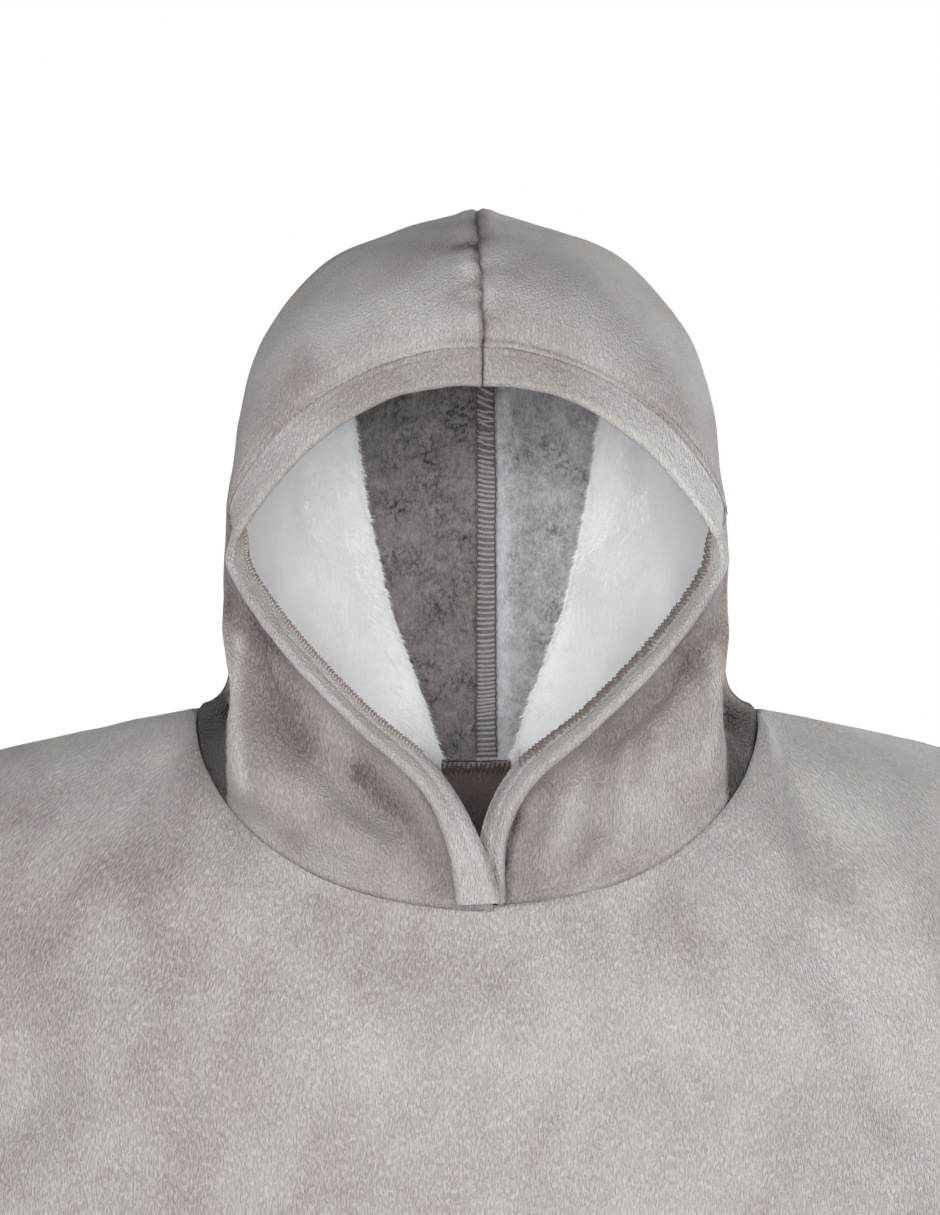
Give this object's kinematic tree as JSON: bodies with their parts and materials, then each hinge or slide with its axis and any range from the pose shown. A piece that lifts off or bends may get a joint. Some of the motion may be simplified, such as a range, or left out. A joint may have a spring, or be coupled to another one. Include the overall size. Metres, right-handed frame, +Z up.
{
  "type": "oversized fleece hoodie",
  "caption": "Oversized pullover hoodie in plush fleece with long sleeves and a deep, pile-lined hood, filled out as if worn, arms out.",
  "frame": {"origin": "midway between the two points where the neck seam crosses the shoulders, where the wearer carries the garment", "axes": "+Z up, the front faces -Y, the wearer's left is +X and the arms run along X"},
  "size_m": [1.6098, 0.2794, 1.1642],
  "materials": {
    "outer_fleece": "short brushed pile, taupe grey",
    "white_pile": "long soft pile, white",
    "grey_pile": "curly pile, grey"
  },
  "bodies": {
    "root": {"front": "outer_fleece", "back": "outer_fleece", "sleeve_right": "outer_fleece", "sleeve_left": "outer_fleece", "hood_right": "outer_fleece", "hood_left": "outer_fleece", "hood_hem_right": "outer_fleece", "hood_hem_left": "outer_fleece", "hood_seam_allowance": "outer_fleece", "lining_side_right": "white_pile", "lining_side_left": "white_pile", "lining_back_right": "grey_pile", "lining_back_left": "grey_pile"}
  },
  "joints": []
}
